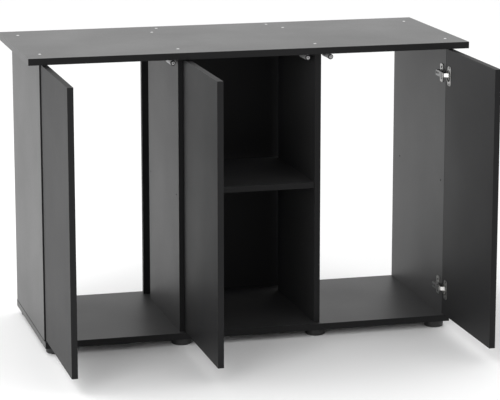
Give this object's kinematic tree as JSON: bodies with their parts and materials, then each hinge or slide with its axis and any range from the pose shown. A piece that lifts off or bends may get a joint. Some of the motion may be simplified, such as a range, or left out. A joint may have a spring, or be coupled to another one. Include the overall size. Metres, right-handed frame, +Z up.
{
  "type": "aquarium stand cabinet",
  "caption": "Wide low cabinet that carries an aquarium: flat top, side bays open at the back, inner partitions, a shelf, flat hinged doors with push latches, and round feet.",
  "frame": {"origin": "on the floor at the middle of the object's footprint with its doors wide open", "axes": "+X to the right along the front, +Y from the doors to the back, +Z up"},
  "size_m": [1.21, 0.857, 0.807],
  "materials": {
    "carcass_board": "matt melamine-faced board",
    "door_board": "matt melamine-faced board",
    "foot_plastic": "matt moulded plastic",
    "screw_cap": "satin plastic caps",
    "latch_grey": "satin moulded plastic",
    "plunger_plastic": "satin moulded plastic",
    "nickel_steel": "nickel plated steel",
    "zinc_steel": "zinc plated steel"
  },
  "bodies": {
    "carcass": {"back_panel": "carcass_board", "base_panel": "carcass_board", "base_screws": "zinc_steel", "foot_left_front": "foot_plastic", "foot_left_rear": "foot_plastic", "foot_mid_left_front": "foot_plastic", "foot_mid_left_rear": "foot_plastic", "foot_mid_right_front": "foot_plastic", "foot_mid_right_rear": "foot_plastic", "foot_right_front": "foot_plastic", "foot_right_rear": "foot_plastic", "foot_screws": "zinc_steel", "hinge_arm_pins": "nickel_steel", "hinge_arm_screws": "zinc_steel", "hinge_plate_screws": "zinc_steel", "latch_screws": "zinc_steel", "left_door_lower_hinge_arm": "nickel_steel", "left_door_lower_hinge_plate": "nickel_steel", "left_door_upper_hinge_arm": "nickel_steel", "left_door_upper_hinge_plate": "nickel_steel", "left_latch_housing": "latch_grey", "left_partition": "carcass_board", "left_side_panel": "carcass_board", "middle_door_lower_hinge_arm": "nickel_steel", "middle_door_lower_hinge_plate": "nickel_steel", "middle_door_upper_hinge_arm": "nickel_steel", "middle_door_upper_hinge_plate": "nickel_steel", "middle_latch_housing": "latch_grey", "middle_shelf": "carcass_board", "right_door_lower_hinge_arm": "nickel_steel", "right_door_lower_hinge_plate": "nickel_steel", "right_door_upper_hinge_arm": "nickel_steel", "right_door_upper_hinge_plate": "nickel_steel", "right_latch_housing": "latch_grey", "right_partition": "carcass_board", "right_side_panel": "carcass_board", "shelf_pegs": "zinc_steel", "top_panel": "carcass_board", "top_screws": "screw_cap"},
    "left_door": {"left_door": "door_board", "left_door_hinge_screws": "zinc_steel", "left_door_upper_hinge_cup": "nickel_steel", "left_door_lower_hinge_cup": "nickel_steel"},
    "left_door_links": {"left_door_upper_hinge_link": "nickel_steel", "left_door_lower_hinge_link": "nickel_steel"},
    "left_latch_plunger": {"left_latch_plunger": "plunger_plastic"},
    "middle_door": {"middle_door": "door_board", "middle_door_hinge_screws": "zinc_steel", "middle_door_upper_hinge_cup": "nickel_steel", "middle_door_lower_hinge_cup": "nickel_steel"},
    "middle_door_links": {"middle_door_upper_hinge_link": "nickel_steel", "middle_door_lower_hinge_link": "nickel_steel"},
    "middle_latch_plunger": {"middle_latch_plunger": "plunger_plastic"},
    "right_door": {"right_door": "door_board", "right_door_hinge_screws": "zinc_steel", "right_door_upper_hinge_cup": "nickel_steel", "right_door_lower_hinge_cup": "nickel_steel"},
    "right_door_links": {"right_door_upper_hinge_link": "nickel_steel", "right_door_lower_hinge_link": "nickel_steel"},
    "right_latch_plunger": {"right_latch_plunger": "plunger_plastic"}
  },
  "joints": [
    {"name": "left_door_hinge", "type": "hinge", "parent": "carcass", "child": "left_door", "pos_m": [-0.56375, -0.05625, 0.41325], "axis": [0, 0, 1], "range_deg": [-10, 90]},
    {"name": "middle_door_hinge", "type": "hinge", "parent": "carcass", "child": "middle_door", "pos_m": [-0.18375, -0.05625, 0.41325], "axis": [0, 0, 1], "range_deg": [-10, 90]},
    {"name": "right_door_hinge", "type": "hinge", "parent": "carcass", "child": "right_door", "pos_m": [0.56375, -0.05625, 0.41325], "axis": [0, 0, -1], "range_deg": [-10, 90]},
    {"name": "left_door_link_pivot", "type": "hinge", "parent": "carcass", "child": "left_door_links", "pos_m": [-0.54212, -0.05171, 0.41325], "axis": [0, 0, 1], "range_deg": [-57.3, 6.4]},
    {"name": "middle_door_link_pivot", "type": "hinge", "parent": "carcass", "child": "middle_door_links", "pos_m": [-0.16212, -0.05171, 0.41325], "axis": [0, 0, 1], "range_deg": [-57.3, 6.4]},
    {"name": "right_door_link_pivot", "type": "hinge", "parent": "carcass", "child": "right_door_links", "pos_m": [0.54212, -0.05171, 0.41325], "axis": [0, 0, -1], "range_deg": [-57.3, 6.4]},
    {"name": "left_latch_press", "type": "slide", "parent": "carcass", "child": "left_latch_plunger", "axis": [0, 1, 0], "range_m": [0, 0.003], "stiffness_N_per_m": 400},
    {"name": "middle_latch_press", "type": "slide", "parent": "carcass", "child": "middle_latch_plunger", "axis": [0, 1, 0], "range_m": [0, 0.003], "stiffness_N_per_m": 400},
    {"name": "right_latch_press", "type": "slide", "parent": "carcass", "child": "right_latch_plunger", "axis": [0, 1, 0], "range_m": [0, 0.003], "stiffness_N_per_m": 400}
  ],
  "couplings": [
    {"joint": "left_door_link_pivot", "follows": "left_door_hinge", "ratio": -0.636},
    {"joint": "middle_door_link_pivot", "follows": "middle_door_hinge", "ratio": -0.636},
    {"joint": "right_door_link_pivot", "follows": "right_door_hinge", "ratio": -0.636}
  ]
}
